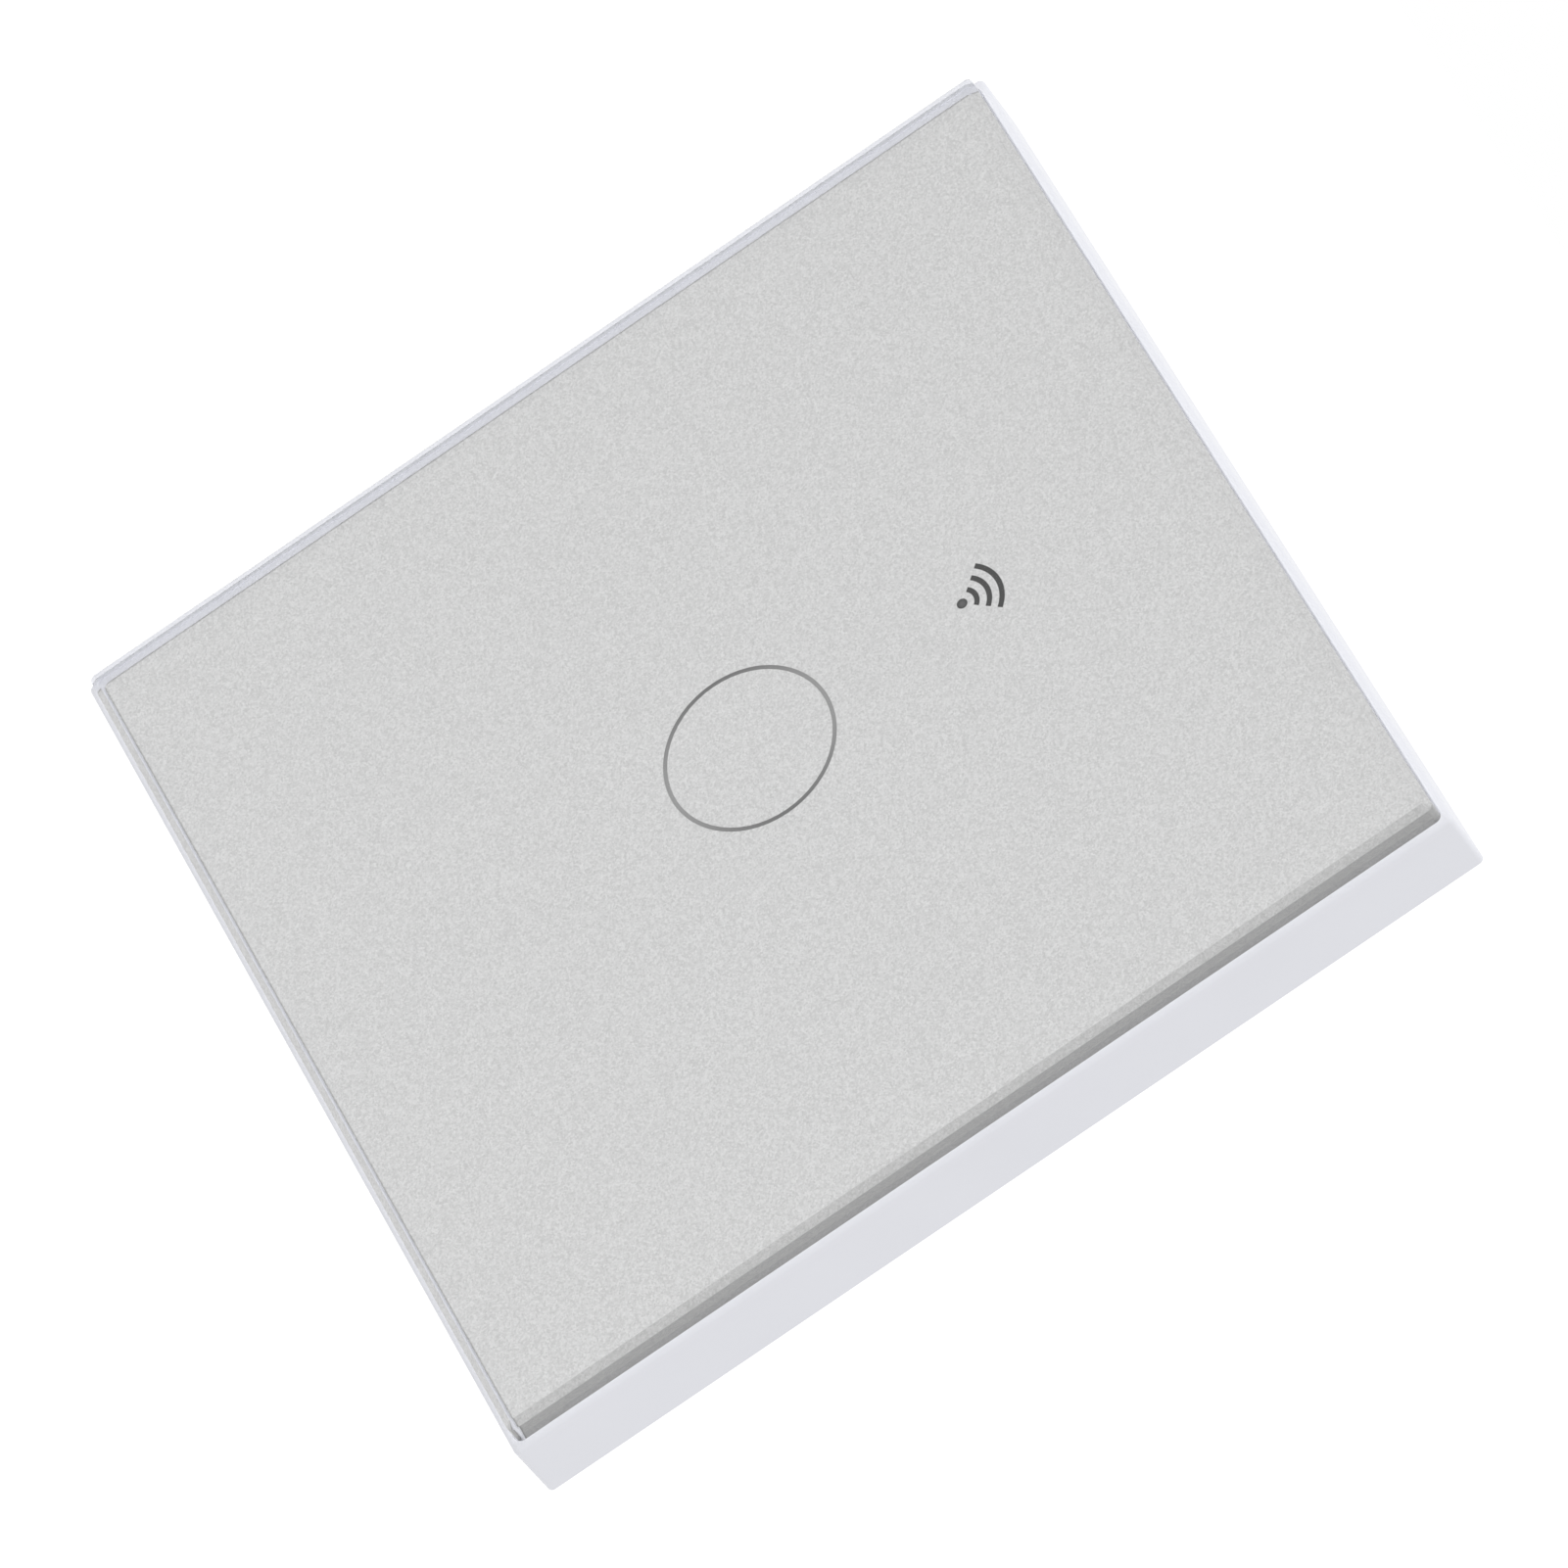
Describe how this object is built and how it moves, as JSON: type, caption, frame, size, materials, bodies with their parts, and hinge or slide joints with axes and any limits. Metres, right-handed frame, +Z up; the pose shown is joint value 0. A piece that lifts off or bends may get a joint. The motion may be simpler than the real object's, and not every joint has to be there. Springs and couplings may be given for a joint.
{
  "type": "touch light switch",
  "caption": "Square touch light switch for a wall box: bevelled glass panel with a printed touch ring on a white wall plate, with a rear case of relay and screw terminals.",
  "frame": {"origin": "middle of the wall plate, on the plane of the wall surface, midway between the two wall screws", "axes": "-Y out of the wall towards the user, +Y into the wall, +Z up, +X to the right seen from the front"},
  "size_m": [0.086, 0.0349, 0.086],
  "materials": {
    "tempered_glass": "polished, bevelled front edge",
    "silver_coat": "fine metallic paint seen through the glass",
    "marking_ink": "printed ink",
    "white_plastic": "satin moulded plastic",
    "white_foam_tape": "soft adhesive tape",
    "clear_plastic": "frosted clear plastic",
    "spring_steel": "bright strip",
    "zinc_plated_steel": "zinc plated",
    "circuit_board": "green solder mask",
    "black_plastic": "moulded",
    "terminal_plastic": "moulded nylon",
    "brass": "bright brass",
    "tinned_steel": "tinned",
    "relay_cover_plastic": "moulded",
    "relay_base_plastic": "moulded",
    "soft_iron": "plated iron",
    "bobbin_plastic": "moulded nylon",
    "enamelled_copper": "enamelled wire",
    "ferrite": "sintered ferrite",
    "winding_tape": "polyester tape over the wire",
    "capacitor_sleeve": "shrink sleeve on an aluminium can",
    "film_capacitor_case": "moulded box",
    "varistor_coat": "dipped epoxy",
    "resistor_coat": "ceramic coat",
    "led_package": "clear yellow resin"
  },
  "bodies": {
    "base": {"base_frame": "white_plastic", "rear_housing": "white_plastic", "housing_screws": "zinc_plated_steel", "power_board": "circuit_board", "header_socket": "black_plastic", "socket_contacts": "brass", "power_chips": "black_plastic", "terminal_block": "terminal_plastic", "current_bars": "brass", "relay_base": "relay_base_plastic", "relay_cover": "relay_cover_plastic", "relay_yoke": "soft_iron", "relay_bobbin": "bobbin_plastic", "relay_coil": "enamelled_copper", "relay_contact": "brass", "transformer_core": "ferrite", "transformer_bobbin": "black_plastic", "transformer_winding": "winding_tape", "mains_capacitor": "capacitor_sleeve", "output_capacitor": "capacitor_sleeve", "film_capacitor": "film_capacitor_case", "filter_choke": "ferrite", "varistor": "varistor_coat", "fuse_resistor": "resistor_coat"},
    "front_panel": {"glass_panel": "tempered_glass", "back_print": "silver_coat", "marking_print": "marking_ink", "adhesive_tape": "white_foam_tape", "panel_carrier": "white_plastic", "panel_clips": "spring_steel", "ring_light_guide": "clear_plastic", "icon_light_guide": "clear_plastic", "touch_board": "circuit_board", "touch_spring": "brass", "touch_leds": "led_package", "touch_chips": "black_plastic", "touch_board_screws": "zinc_plated_steel", "wireless_module": "circuit_board", "wireless_shield": "tinned_steel", "pin_header": "black_plastic"},
    "terminal_screw_line_body": {"terminal_screw_line": "zinc_plated_steel"},
    "terminal_screw_neutral_body": {"terminal_screw_neutral": "zinc_plated_steel"},
    "terminal_screw_load_body": {"terminal_screw_load": "zinc_plated_steel"},
    "wire_clamp_line_body": {"wire_clamp_line": "zinc_plated_steel"},
    "wire_clamp_neutral_body": {"wire_clamp_neutral": "zinc_plated_steel"},
    "wire_clamp_load_body": {"wire_clamp_load": "zinc_plated_steel"},
    "relay_armature_body": {"relay_armature": "soft_iron", "relay_contact_spring": "brass"}
  },
  "joints": [
    {"name": "panel_lift", "type": "slide", "parent": "base", "child": "front_panel", "axis": [0, -1, 0], "range_m": [0, 0.025], "deforming": ["panel_clips"]},
    {"name": "terminal_screw_line_turn", "type": "hinge", "parent": "base", "child": "terminal_screw_line_body", "pos_m": [-0.0094, 0.02, -0.018], "axis": [0, -1, 0], "range_deg": [0, 2160]},
    {"name": "wire_clamp_line_slide", "type": "slide", "parent": "base", "child": "wire_clamp_line_body", "axis": [0, 1, 0], "range_m": [0, 0.003]},
    {"name": "terminal_screw_neutral_turn", "type": "hinge", "parent": "base", "child": "terminal_screw_neutral_body", "pos_m": [0, 0.02, -0.018], "axis": [0, -1, 0], "range_deg": [0, 2160]},
    {"name": "wire_clamp_neutral_slide", "type": "slide", "parent": "base", "child": "wire_clamp_neutral_body", "axis": [0, 1, 0], "range_m": [0, 0.003]},
    {"name": "terminal_screw_load_turn", "type": "hinge", "parent": "base", "child": "terminal_screw_load_body", "pos_m": [0.0094, 0.02, -0.018], "axis": [0, -1, 0], "range_deg": [0, 2160]},
    {"name": "wire_clamp_load_slide", "type": "slide", "parent": "base", "child": "wire_clamp_load_body", "axis": [0, 1, 0], "range_m": [0, 0.003]},
    {"name": "relay_armature_swing", "type": "hinge", "parent": "base", "child": "relay_armature_body", "pos_m": [-0.0157, 0.01965, -0.00395], "axis": [0, 0, -1], "range_deg": [0, 3.2], "stiffness_Nm_per_rad": 0.01, "springref_deg": -8.59}
  ],
  "couplings": [
    {"joint": "terminal_screw_line_turn", "follows": "wire_clamp_line_slide", "rad_per_m": 12566},
    {"joint": "terminal_screw_neutral_turn", "follows": "wire_clamp_neutral_slide", "rad_per_m": 12566},
    {"joint": "terminal_screw_load_turn", "follows": "wire_clamp_load_slide", "rad_per_m": 12566}
  ]
}
